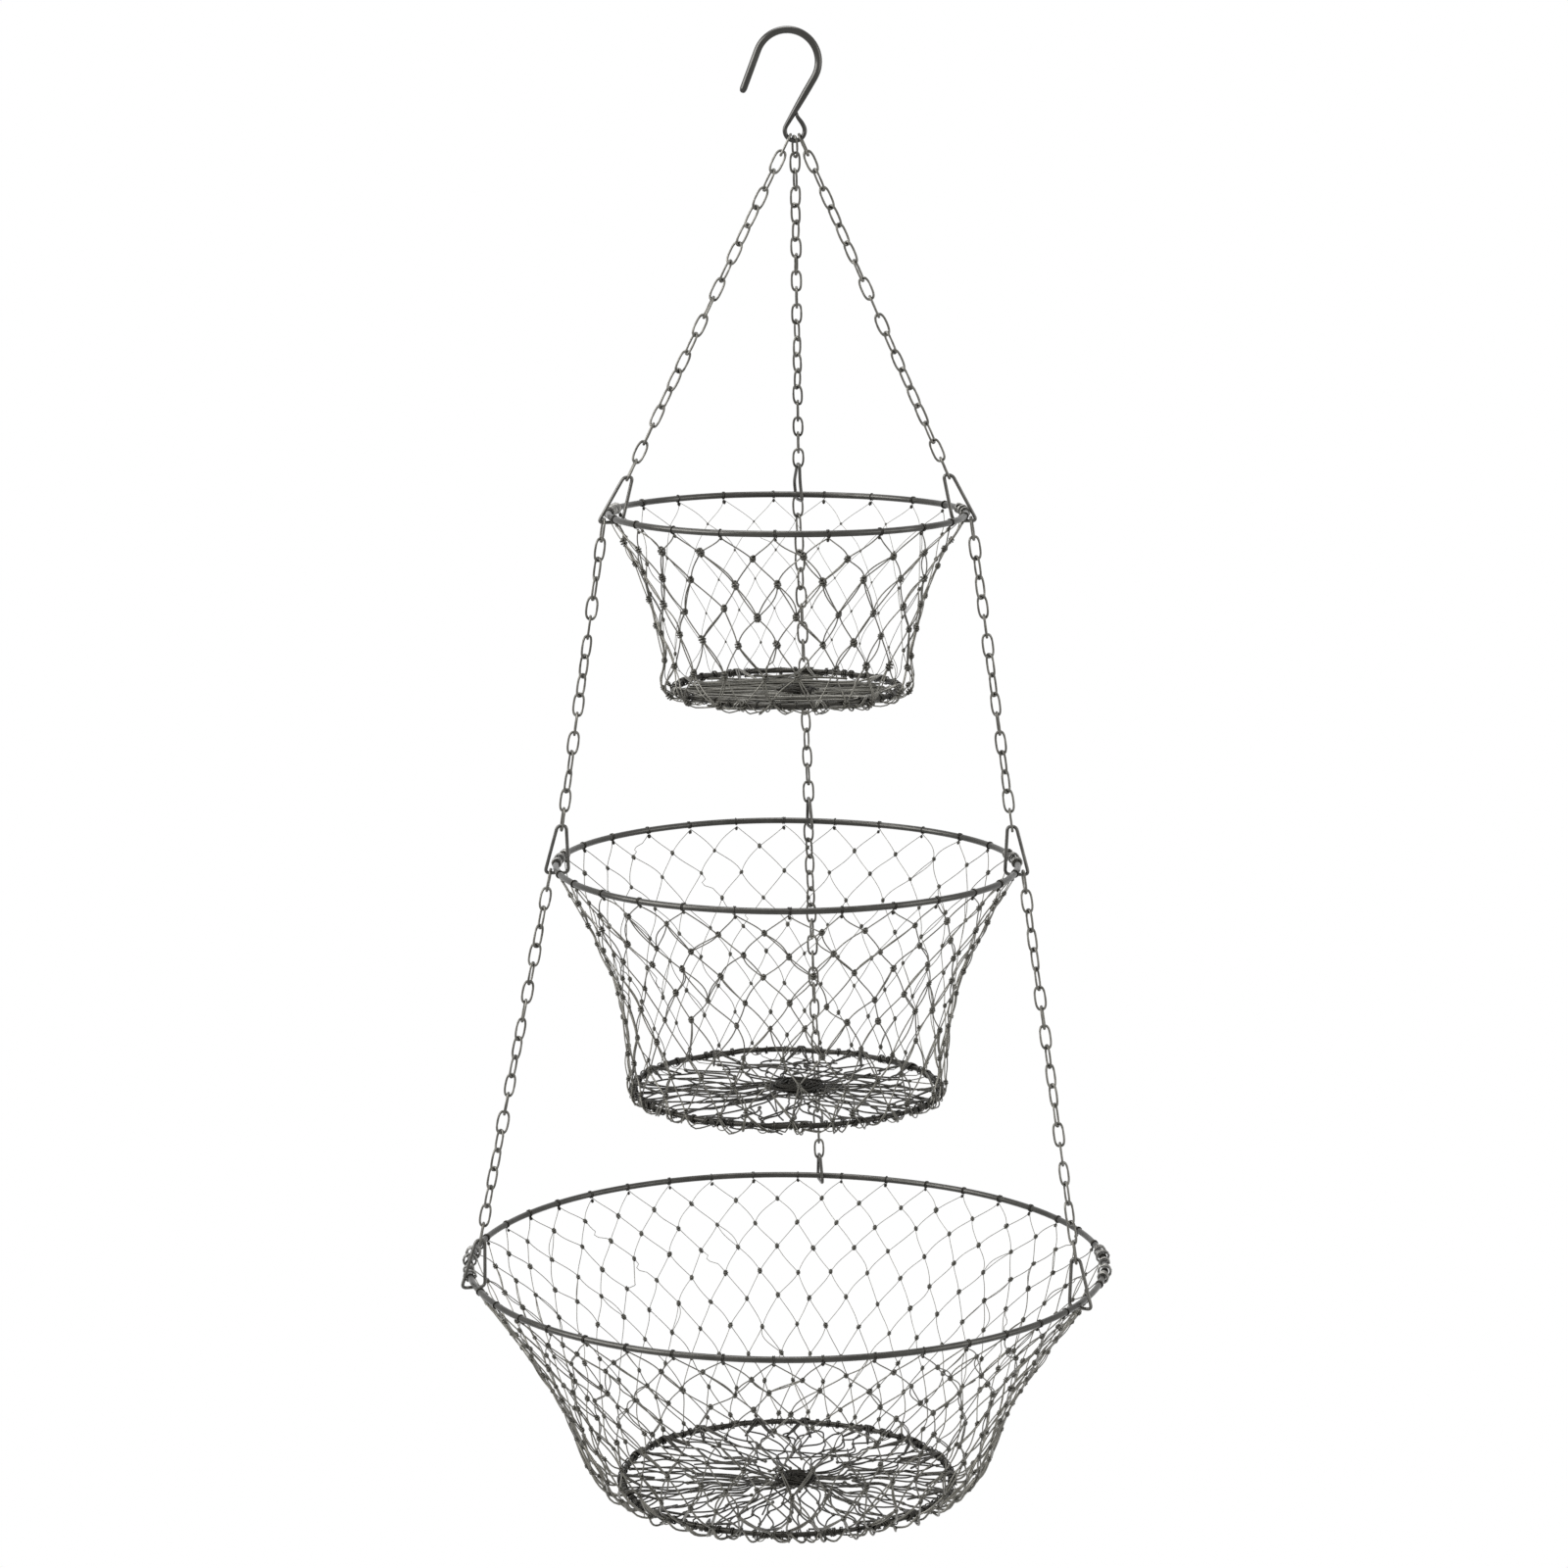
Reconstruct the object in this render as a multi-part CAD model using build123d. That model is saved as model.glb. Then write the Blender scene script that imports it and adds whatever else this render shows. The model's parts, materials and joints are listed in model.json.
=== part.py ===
from build123d import *
import math
import os

# Three-tier hanging wire basket: a hook, nine chains and three netted baskets.
# Millimetres. Z is up, X runs from left to right seen from the front, Y points to the back.
# The origin is the underside of the hook's top bend, where a ceiling peg carries it.

# Hook and its closed eye
hook_wire = 3.4
hook_bend_radius = 14.2
hook_tip_length = 18.7
hook_tip_lean = 20.5
hook_stem_length = 24.8
hook_stem_lean = 30.5
eye_wire = 2.4
eye_radius = 4.5
eye_return_length = 4.0
eye_taper_share = 0.72

# Chain links
chain_wire = 1.12
link_inner_length = 9.0
link_width = 5.8
link_end_share = 0.62
link_play = 0.12
link_twist = 78.0
pivot_play = 0.3
eye_link_play = 0.8
open_pivot_play = 0.8
eye_link_spread = 38.0

# Rim hangers
hanger_wire = 1.6
hanger_height = 20.0
hanger_apex_half = 1.7
hanger_inner_half = 5.0
hanger_hook_offset = 2.8
hanger_hook_room = 1.7
back_hanger_yaw = 18.0
back_hook_offset = 3.5
top_back_hanger = 17.0
middle_back_hanger = 12.0
bottom_back_hanger = 12.0

# Rims and base rings
rim_wire = 3.4
ring_wire = 2.2
seat_gap = 0.25
rim_net_gap = 0.5

# Heights of the three rims below the origin, and each basket's depth to its base ring
top_drop = 217.4
middle_drop = 381.9
bottom_drop = 574.2
top_depth = 81.3
middle_depth = 107.3
bottom_depth = 107.5

# Radii of the rims and base rings, to the wire's centre
top_rim_radius = 82.1
middle_rim_radius = 107.7
bottom_rim_radius = 150.8
top_base_radius = 52.3
middle_base_radius = 72.1
bottom_base_radius = 79.2

# Wire net: wire size, the length of a diamond's side, and diamonds round each basket
net_wire = 0.9
net_layer_gap = 1.3
net_facet_share = 1.2
net_lap_share = 0.67
top_net_side = 17.5
middle_net_side = 16.8
bottom_net_side = 16.2
top_net_count = 21
middle_net_count = 28
bottom_net_count = 42

# Net wall outlines between rim and base ring, as shares of flare and depth
top_flare_shares = (0.51, 0.19)
top_depth_shares = (0.35, 0.78)
middle_flare_shares = (0.62, 0.22, 0.07)
middle_depth_shares = (0.24, 0.55, 0.90)
bottom_flare_shares = (0.66, 0.40, 0.24)
bottom_depth_shares = (0.33, 0.62, 0.90)
top_floor_shares = (0.52,)
middle_floor_shares = (0.52,)
bottom_floor_shares = (0.52,)
floor_inset_share = 0.83
floor_knot_share = 1.3
floor_knot_rise = 2.6
floor_knot_bevel = 0.87

# Where the hangers sit: the back one's azimuth and the others' places counted in diamonds
top_back_azimuth = 86.0
middle_back_azimuth = 84.0
bottom_back_azimuth = 83.5
top_hanger_steps = (0, 6, 15.75)
middle_hanger_steps = (0, 7.78, 21)
bottom_hanger_steps = (0, 12.78, 29.22)

# Facets of the bent wires
hook_sides = 8
rim_sides = 6
ring_sides = 4
hanger_sides = 8
net_sides = 3
ring_segments = 36
bend_step = 20.0
knot_sides = 12
flat_share = 1e-6
side_names = ("back", "left", "right")


def polar(radius, azimuth, height):
    """Point at a radius and azimuth round the hanging axis."""
    angle = math.radians(azimuth)
    return Vector(radius * math.cos(angle), radius * math.sin(angle), height)


def across(vector, direction):
    """Part of a vector square to a direction, at unit length."""
    return (vector - direction * vector.dot(direction)).normalized()


def project(points, direction, origin, normal):
    """Slide points along a direction onto a plane."""
    slope = direction.dot(normal)
    return [point + direction * ((origin - point).dot(normal) / slope) for point in points]


def polygon_faces(corners):
    """One flat face, or two triangles where four corners don't lie in a plane."""
    if len(corners) == 4:
        normal = (corners[1] - corners[0]).cross(corners[2] - corners[0])
        if abs(normal.normalized().dot(corners[3] - corners[0])) > hook_wire * flat_share:
            halves = (corners[:3], [corners[0], corners[2], corners[3]])
            return [Face(Wire.make_polygon(half)) for half in halves]
    return [Face(Wire.make_polygon(corners))]


def bent_wire(path, diameters, sides, up, closed=False):
    """Wire of flat facets along a path of straight runs, mitred at each bend."""
    count = len(path)
    runs = count if closed else count - 1
    directions = [(path[(i + 1) % count] - path[i]).normalized() for i in range(runs)]
    start = (path[0] + path[1]) / 2
    base = Plane(start, x_dir=across(up, directions[0]), z_dir=directions[0])
    section = []
    for i in range(sides):
        angle = math.radians(360 * (i + 0.5) / sides)
        spoke = Vector(math.cos(angle), math.sin(angle), 0) * (diameters[0] / 2)
        section.append(base.from_local_coords(spoke))
    sections = []
    for i in range(runs + 1):
        before = directions[(i - 1) % runs] if closed or i > 0 else directions[0]
        after = directions[i % runs] if closed or i < runs else directions[-1]
        travel = directions[0] if i == 0 else directions[i - 1]
        corner = path[i % count]
        section = project(section, travel, corner, before + after)
        if i > 0 and diameters[i % count] != diameters[i - 1]:
            growth = diameters[i % count] / diameters[i - 1]
            section = [corner + (point - corner) * growth for point in section]
        sections.append(section)
    if closed:
        sections[-1] = sections[0]
    faces = []
    for low, high in zip(sections, sections[1:]):
        for i in range(sides):
            j = (i + 1) % sides
            faces += polygon_faces([low[i], low[j], high[j], high[i]])
    if not closed:
        faces += polygon_faces(sections[0]) + polygon_faces(sections[-1])
    return Solid(Shell(faces))


def arc_points(centre, radius, start, end):
    """Points of an arc in the hook's plane, about one for each bend step."""
    count = max(2, round(abs(end - start) / bend_step))
    points = []
    for i in range(count + 1):
        angle = math.radians(start + (end - start) * i / count)
        points.append(centre + Vector(math.cos(angle), 0, math.sin(angle)) * radius)
    return points


def leaning(angle):
    """Unit direction in the hook's plane, an angle anticlockwise from straight down."""
    turn = math.radians(angle)
    return Vector(math.sin(turn), 0, -math.cos(turn))


bend_centre = Vector(0, 0, hook_wire / 2 - hook_bend_radius)
stem_start = bend_centre + leaning(90 - hook_stem_lean) * hook_bend_radius
stem_end = stem_start + leaning(-hook_stem_lean) * hook_stem_length
eye_centre = stem_end + leaning(90 - hook_stem_lean) * eye_radius


def make_hook():
    """Open hook with its closed eye, bent from one wire that thins at the eye."""
    bend = arc_points(bend_centre, hook_bend_radius, 180 - hook_tip_lean, -hook_stem_lean)
    tip = bend[0] + leaning(-hook_tip_lean) * hook_tip_length
    thinning = stem_start + (stem_end - stem_start) * eye_taper_share
    loop = arc_points(eye_centre, eye_radius, 180 - hook_stem_lean, 360 + hook_stem_lean)
    tail = loop[-1] - leaning(hook_stem_lean) * eye_return_length
    path = [tip] + bend + [thinning] + loop + [tail]
    thick = [hook_wire] * (2 + len(bend))
    thin = [eye_wire] * (len(loop) + 1)
    return bent_wire(path, thick + thin, hook_sides, Vector(0, 1, 0))


class Pivot:
    """Wire that a chain's end link goes round: its centre, run and radius."""

    def __init__(self, centre, run, radius):
        self.centre = centre
        self.run = run
        self.radius = radius


def make_link(length):
    """One oval link in the XZ plane, from its inner length."""
    wall = chain_wire
    tall = length / 2
    wide = link_width / 2 - wall
    narrow = wide * link_end_share
    inner = [(narrow, tall), (wide, 0), (narrow, -tall), (-narrow, -tall), (-wide, 0), (-narrow, tall)]
    outer = []
    for x, z in inner:
        side = math.copysign(wall, x)
        rise = math.copysign(wall, z) if z else 0
        outer.append((x + side, z + rise))
    ring = make_face(Polyline(*outer, close=True)) - make_face(Polyline(*inner, close=True))
    flat = extrude(ring, wall / 2, both=True)
    return Plane.XZ.location * flat


def chain_links(upper, lower, upper_play, lower_play, first_play=link_play):
    """Links from one pivot wire to another, twisted evenly to suit both ends."""
    span = lower.centre - upper.centre
    along = span.normalized()
    head = upper.radius + upper_play
    reach = span.length + head + lower.radius + lower_play
    count = round(reach / (link_inner_length - link_play))
    length = (reach + (count - 2) * link_play + first_play) / count
    first = across(upper.run, along)
    last = across(lower.run, along)
    side = along.cross(first)
    turn = math.degrees(math.atan2(last.dot(side), last.dot(first)))
    natural = link_twist * (count - 1)
    slack = (turn - natural + 90) % 180 - 90
    link = make_link(length)
    links = []
    top = -head
    for i in range(count):
        centre = upper.centre + along * (top + length / 2)
        angle = math.radians(i * (natural + slack) / (count - 1))
        normal = first * math.cos(angle) + side * math.sin(angle)
        frame = Plane(centre, x_dir=normal.cross(along), z_dir=along * -1)
        links.append(frame.location * link)
        top += length - (first_play if i == 0 else link_play)
    return links


def make_hanger(seat, outward, upward, height, offset):
    """Triangular wire loop round a rim: solid, lower pivot and upper pivot."""
    rise = across(upward, outward)
    lean = upward.dot(outward) * height
    tall = upward.dot(rise) * height
    base = rim_wire / 2 + seat_gap + hanger_wire / 2
    corners = [
        (-hanger_inner_half, -base),
        (offset + hanger_hook_room, -base),
        (offset + hanger_hook_room + hanger_wire / 2, hanger_wire / 2 - base),
        (lean + hanger_apex_half, tall),
        (lean - hanger_apex_half, tall),
        (-hanger_inner_half - hanger_wire / 2, hanger_wire / 2 - base),
    ]
    path = [seat + outward * x + rise * y for x, y in corners]
    solid = bent_wire(path, [hanger_wire] * len(path), hanger_sides, outward.cross(rise), closed=True)
    apex = Pivot(seat + outward * lean + rise * tall, outward, hanger_wire / 2)
    foot = Pivot(seat + outward * offset - rise * base, outward, hanger_wire / 2)
    return solid, foot, apex


def make_hoop(radius, height, wire, sides):
    """Closed ring of round wire, lying level."""
    path = [polar(radius, 360 * i / ring_segments, height) for i in range(ring_segments)]
    return bent_wire(path, [wire] * ring_segments, sides, Vector(0, 0, 1), closed=True)


class Basket:
    """One tier: its sizes, its net's outline and where its hangers sit."""

    def __init__(self, name, drop, depth, rim, base, count, side, flares, depths, floors, azimuth, steps, back):
        self.name = name
        self.back_hanger = back
        self.rim_height = -drop
        self.base_height = -drop - depth
        self.rim = rim
        self.base = base
        self.count = count
        self.side = side
        self.wall = [(base + (rim - base) * f, -drop - depth * d) for f, d in zip(flares, depths)]
        self.knot = count * net_wire * floor_knot_share / math.tau
        self.floors = floors
        self.azimuth = azimuth
        self.hanger_azimuths = [azimuth + 360 * step / count for step in steps]

    def diamonds(self, radius, length):
        """How many half diamonds fit in a length of the net at a radius."""
        half_width = math.pi * radius / self.count
        return length / math.sqrt(self.side ** 2 - half_width ** 2)

    def outline(self, layer):
        """Radius, height and half diamonds passed, down the wall, for layer -1 inside or 1 outside."""
        reach = (rim_wire + net_wire) / 2 + rim_net_gap
        seat = (ring_wire + net_wire) / 2 + seat_gap + (layer + 1) / 2 * net_layer_gap
        offset = layer * net_layer_gap / 2
        top = [(self.rim + layer * reach, self.rim_height - layer * net_wire * net_lap_share)]
        middle = [(radius + offset, height) for radius, height in self.wall]
        foot = [(self.base + seat, self.base_height - seat)]
        places = top + middle + foot
        return [places[i] + (self.passed(i),) for i in range(len(places))]

    def passed(self, index):
        """Half diamonds from the rim to a corner of the wall's middle surface."""
        corners = [(self.rim, self.rim_height)] + self.wall + [(self.base, self.base_height)]
        total = 0
        for (r1, z1), (r2, z2) in zip(corners[:index], corners[1:index + 1]):
            total += self.diamonds((r1 + r2) / 2, math.hypot(r2 - r1, z2 - z1))
        return total

    def floor_outline(self, layer):
        """Radius, height and half diamonds passed, from the base ring to the knot."""
        corner = self.outline(layer)[-1]
        start = corner[0] - net_wire * floor_inset_share
        places = [(start, corner[1], corner[2])]
        for share in self.floors + (0,):
            radius = self.knot + (self.base - self.knot) * share
            travel = self.diamonds((radius + self.base) / 2, self.base - radius)
            places.append((radius, corner[1], corner[2] + travel))
        return places

    def strands(self, outline_of):
        """Both families of net wires along an outline: the inner one turns left, the outer one right."""
        wires = []
        for layer in (-1, 1):
            places = outline_of(layer)
            for i in range(self.count):
                lashing = self.azimuth + 360 * (i + 0.5) / self.count
                turned = [lashing - layer * 180 * passed / self.count for r, z, passed in places]
                path = [polar(r, a, z) for (r, z, passed), a in zip(places, turned)]
                sizes = [net_wire * net_facet_share] * len(path)
                wires.append(bent_wire(path, sizes, net_sides, path[0]))
        return wires

    def floor_knot(self):
        """Bunched and tied wire ends in the middle of the floor."""
        height = self.floor_outline(1)[-1][1] - net_wire
        radius = self.knot - net_wire
        disc = extrude(Pos(0, 0, height) * RegularPolygon(radius, knot_sides), floor_knot_rise + net_wire)
        return chamfer(disc.edges().group_by(Axis.Z)[-1], floor_knot_bevel)


def add_basket(nodes, basket, carriers):
    """Everything of one tier. Returns the feet that the next tier's chains hook onto."""
    feet = []
    for side, azimuth, carrier in zip(side_names, basket.hanger_azimuths, carriers):
        seat = polar(basket.rim, azimuth, basket.rim_height)
        yaw = back_hanger_yaw if side == "back" else 0
        height = basket.back_hanger if side == "back" else hanger_height
        offset = back_hook_offset if side == "back" else hanger_hook_offset
        outward = polar(basket.rim, azimuth + yaw, 0).normalized()
        upward = (carrier.centre - seat).normalized()
        hanger, foot, apex = make_hanger(seat, outward, upward, height, offset)
        nodes[f"{basket.name}_{side}_hanger"] = [hanger]
        feet.append(foot)
        if basket.name == "top":
            links = chain_links(carrier, apex, pivot_play, pivot_play, eye_link_play)
            nodes["eye_links"].append(links[0])
            nodes[f"top_{side}_chain"] = links[1:]
        else:
            play = pivot_play if side == "back" else open_pivot_play
            nodes[f"{basket.name}_{side}_chain"] = chain_links(carrier, apex, pivot_play, play)
    rim = make_hoop(basket.rim, basket.rim_height, rim_wire, rim_sides)
    ring = make_hoop(basket.base, basket.base_height, ring_wire, ring_sides)
    nodes[f"{basket.name}_rim"] = [rim]
    nodes[f"{basket.name}_base_ring"] = [ring]
    nodes[f"{basket.name}_wall_net"] = basket.strands(basket.outline)
    nodes[f"{basket.name}_floor_net"] = basket.strands(basket.floor_outline)
    nodes[f"{basket.name}_floor_knot"] = [basket.floor_knot()]
    return feet


def eye_pivots():
    """Places on the eye's lower bend for the back, left and right chains."""
    pivots = []
    for turn in (0, -eye_link_spread, eye_link_spread):
        run = leaning(turn + 90)
        pivots.append(Pivot(eye_centre + leaning(turn) * eye_radius, run, eye_wire / 2))
    return pivots


baskets = [
    Basket("top", top_drop, top_depth, top_rim_radius, top_base_radius, top_net_count, top_net_side,
           top_flare_shares, top_depth_shares, top_floor_shares, top_back_azimuth, top_hanger_steps,
           top_back_hanger),
    Basket("middle", middle_drop, middle_depth, middle_rim_radius, middle_base_radius,
           middle_net_count, middle_net_side, middle_flare_shares, middle_depth_shares,
           middle_floor_shares, middle_back_azimuth, middle_hanger_steps, middle_back_hanger),
    Basket("bottom", bottom_drop, bottom_depth, bottom_rim_radius, bottom_base_radius,
           bottom_net_count, bottom_net_side, bottom_flare_shares, bottom_depth_shares,
           bottom_floor_shares, bottom_back_azimuth, bottom_hanger_steps, bottom_back_hanger),
]


def build():
    """All nodes as lists of separate solids."""
    nodes = {"hook": [make_hook()], "eye_links": []}
    carriers = eye_pivots()
    for basket in baskets:
        carriers = add_basket(nodes, basket, carriers)
    return nodes


def main():
    os.makedirs("parts", exist_ok=True)
    for name, solids in build().items():
        shape = solids[0] if len(solids) == 1 else Compound(children=solids)
        export_step(shape, f"parts/{name}.step")


if __name__ == "__main__":
    main()
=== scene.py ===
import bpy
import json
import math
import random
import numpy as np
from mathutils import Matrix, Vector


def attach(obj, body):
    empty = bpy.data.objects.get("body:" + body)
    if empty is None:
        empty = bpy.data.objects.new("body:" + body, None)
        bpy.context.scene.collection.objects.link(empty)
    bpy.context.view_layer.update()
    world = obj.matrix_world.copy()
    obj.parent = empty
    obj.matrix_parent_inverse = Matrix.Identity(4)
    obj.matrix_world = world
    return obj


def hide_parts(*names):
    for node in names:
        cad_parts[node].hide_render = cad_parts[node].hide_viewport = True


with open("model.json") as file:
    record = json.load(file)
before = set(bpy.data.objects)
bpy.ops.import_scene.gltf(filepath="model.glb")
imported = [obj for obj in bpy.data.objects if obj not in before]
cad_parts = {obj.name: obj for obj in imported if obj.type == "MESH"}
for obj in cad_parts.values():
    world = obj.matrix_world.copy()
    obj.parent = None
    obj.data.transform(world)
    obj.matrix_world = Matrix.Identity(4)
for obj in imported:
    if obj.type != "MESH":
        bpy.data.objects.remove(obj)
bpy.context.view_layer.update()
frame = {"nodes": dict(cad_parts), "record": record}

# Dressed model of a three-tier hanging wire basket. Sizes are in millimetres up to the meshes.
# The origin is the underside of the hook's top bend, +z is up and the camera looks along +y.
MM = 0.001
TAU = math.tau
SEED = 1823
rng = random.Random(SEED)

# Rounded end of a tube: how far beyond it two more rings lie, and their radii, in radii of the tube
CAP_TIP = (0.92, 0.38)
CAP_SHOULDER = (0.6, 0.8)

# Hook and eye. Leans are in degrees from upright, and the spread is that of the links on the eye.
HOOK_WIRE = 3.4
BEND_RADIUS = 14.2
TIP_LENGTH = 18.7
TIP_LEAN = 20.5
STEM_LENGTH = 24.8
STEM_LEAN = 30.5
# how the stem's wire thins towards the eye, at places on its way down
STEM_PLACES = (0.15, 0.3, 0.45, 0.6, 0.75, 0.9)
STEM_TAPER = (1.0, 0.99, 0.95, 0.88, 0.78, 0.68)
EYE_WIRE = 2.1
EYE_RADIUS = 4.5
EYE_SPREAD = 38.0
# the return leg from the eye's right side up to the stem, from the eye's centre
EYE_RETURN = ((4.2, 1.6), (3.2, 3.5), (2.0, 5.1), (1.15, 6.4), (0.9, 7.8))

# Chains. Links are turned about their length by chance, by up to a few times the roll in degrees.
# The middle link on the eye has turned further, so that it is seen open. A link's seam is at one
# of two steps round it, on its long sides.
CHAIN_WIRE = 1.06
LINK_STEPS = 28
LINK_SEAMS = (1, 13)
LINK_ROLL = 7
CENTRAL_TURN = 35.0

# Hangers: the half width of the apex, how far the wire reaches inside the rim, where outside the
# rim the next chain hooks on, the room beyond that for its link, and how far the back ones turn
HANGER_WIRE = 1.6
HANGER_HEIGHT = 20.0
HANGER_APEX_HALF = 1.7
HANGER_INNER = 5.0
HANGER_FOOT = 2.8
BACK_FOOT = 3.5
HOOK_ROOM = 1.7
BACK_YAW = 18.0

# Rims and base rings. The hangers are seated on the wire of the solids' rims.
CAD_RIM_WIRE = 3.4
SEAT_GAP = 0.25
RIM_WIRE = 2.9
RING_WIRE = 2.2
RING_UNEVEN = 0.5
COIL_WIRE = 1.1

# Netting: strands lie to their own side of its surface, and a few of them are kinked
FLOOR_WIRE = 0.86
FLOOR_KNOT = 0.95
STRAND_LIFT = 0.3
KINK_CHANCE = 0.012
# a knot's wire: its radius, and how much that grows with the knot's size
KNOT_WIRE = (0.24, 0.10)
SCALLOP_PITCH = 15.5
SCALLOP_WIRE = 0.54
# thin wire that winds round the base rings, ties the netting to them and fills the hubs' tangles
TIE_WIRE = 0.62
ROPE_OFFSET = 1.25
TANGLE_WIRES = 84
# the hubs lie to the right of the middle
HUB_OFFSET = 5.0
# how far knots stray, as shares of a mesh round the basket and down it: everywhere, and how much
# more at the front and towards the hub
STRAY_ROUND = (0.045, 0.09, 0.20)
STRAY_DOWN = (0.05, 0.05, 0.16)
# one wire has a right-angled kink and ends at the knot nearest to this radius, azimuth and height
KINKED_KNOT = (119.0, 131.6, -621.2)

# Tiers.
# drop, depth: the rim's level below the origin, and the base ring's below the rim;
# rim, base: their radii; count, side: meshes round the basket, and the length of a mesh's side;
# azimuth, steps, back: where the back hanger sits, each hanger's place in meshes from it, and the
# back one's height;
# flares, depths: the wall's course, as shares of the way out from base to rim and of the depth;
# foot: the netting's way under the base ring, out from the ring and up from its level;
# bulge: how much less it stands out there at the front and back than at the sides;
# wires, knots, doubles: thickness of the wall's wire, size of its knots and share of its strands
# that are doubled, each at the back, and what the front has more;
# heavy: how much thicker the strands get towards the base ring;
# chords, chord_wire, bunched: loose wires over the floor, and whether they lie side by side;
# laces, lace_wire: Vs of wire laced over the base ring, and its thickness;
# thin: share of the floor's last strands that are left out; half that share of the knots in the
# row before have no strands either;
# hub, mass, hub_back: the radius at which the netting ends, that of the tangle there, and how far
# back both lie;
# coils, coil_slack: azimuth, spread and number of the coils at the rim's ends, and their looseness
TIERS = {
    "top": dict(
        drop=217.4, depth=81.3, rim=82.1, base=52.3, count=21, side=17.5,
        azimuth=86.0, steps=(0, 6, 15.75), back=17.0,
        flares=(0.51, 0.19), depths=(0.35, 0.78),
        foot=((6.5, 4.0), (4.5, -0.8), (1.0, -3.4), (-3.0, -3.6)), bulge=3.5,
        wires=(0.26, 0.40), knots=(0.5, 1.65), doubles=(0.02, 0.62), heavy=0.0,
        chords=64, chord_wire=1.0, bunched=True, laces=9, lace_wire=0.8, thin=0.0,
        hub=4.5, mass=10.0, hub_back=0.0, coils=((172, 9, 3), (8, 9, 3)), coil_slack=0.35),
    "middle": dict(
        drop=381.9, depth=107.3, rim=107.7, base=72.1, count=28, side=16.8,
        azimuth=84.0, steps=(0, 7.78, 21), back=12.0,
        flares=(0.62, 0.22, 0.07), depths=(0.24, 0.55, 0.90),
        foot=((3.0, 2.0), (1.6, -2.4), (-2.6, -3.4)), bulge=1.0,
        wires=(0.34, 0.28), knots=(1.1, 0.6), doubles=(0.06, 0.34), heavy=0.2,
        chords=14, chord_wire=0.8, bunched=False, laces=12, lace_wire=0.85, thin=0.25,
        hub=6.0, mass=15.0, hub_back=6.0, coils=((172, 10, 3), (8, 10, 3)), coil_slack=0.35),
    "bottom": dict(
        drop=574.2, depth=107.5, rim=150.8, base=79.2, count=42, side=16.2,
        azimuth=83.5, steps=(0, 12.78, 29.22), back=12.0,
        flares=(0.66, 0.40, 0.24), depths=(0.33, 0.62, 0.90),
        foot=((10.5, 2.6), (6.5, -2.2), (1.4, -3.6), (-3.4, -3.4)), bulge=7.0,
        wires=(0.34, 0.28), knots=(1.4, 0.1), doubles=(0.04, 0.46), heavy=0.7,
        chords=6, chord_wire=0.8, bunched=False, laces=18, lace_wire=1.05, thin=0.5,
        hub=5.0, mass=11.0, hub_back=0.0, coils=((180, 20, 5), (-2, 16, 5)), coil_slack=1.0),
}
SIDES = ("back", "left", "right")

# Studio, in metres and watts. The floor's share of white grows from the least one to all of it
# between two distances from the origin. Rays that scatter see the world as the soft light.
FLOOR_LEVEL = -1.35
FLOOR_REACH = 6.0
FADE_START, FADE_END = 1.6, 2.0
FADE_LEAST = 0.45
SOFT_LIGHT = 0.55
LAMP_AIM = (0, 0, -0.35)
# name, place, width, height, power
LAMPS = (
    ("key", (-2.25, -1.0, 0.9), 2.2, 1.9, 92),
    ("fill", (2.2, -0.9, 0.2), 1.6, 1.6, 22),
    ("top", (-0.3, 0.3, 2.2), 1.6, 1.6, 45),
)
# the camera, how far it looks down in degrees, and its sensor and lens in millimetres
CAMERA_PLACE = (-0.00135, -1.889, -0.0051)
CAMERA_DOWN = 10.17
SENSOR, LENS = 36.0, 94.6
# ray kinds that see the white backdrop
WHITE_RAYS = ("Is Camera Ray", "Is Glossy Ray", "Is Transmission Ray")


def vec(*xyz):
    return np.array(xyz, dtype=float)


def unit(v):
    """Vector of the same direction with length 1."""
    return v / np.linalg.norm(v)


def polar(radius, azimuth, height):
    """Point at an azimuth in degrees, 0 to the right and 90 at the back."""
    a = math.radians(azimuth)
    return vec(radius * math.cos(a), radius * math.sin(a), height)


def across(v, direction):
    """The part of a vector that is square to a direction, as a unit vector."""
    return unit(v - direction * np.dot(v, direction))


def eased(x):
    """From 0 to 1 with a soft start and end."""
    x = np.clip(x, 0, 1)
    return x * x * (3 - 2 * x)


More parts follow.
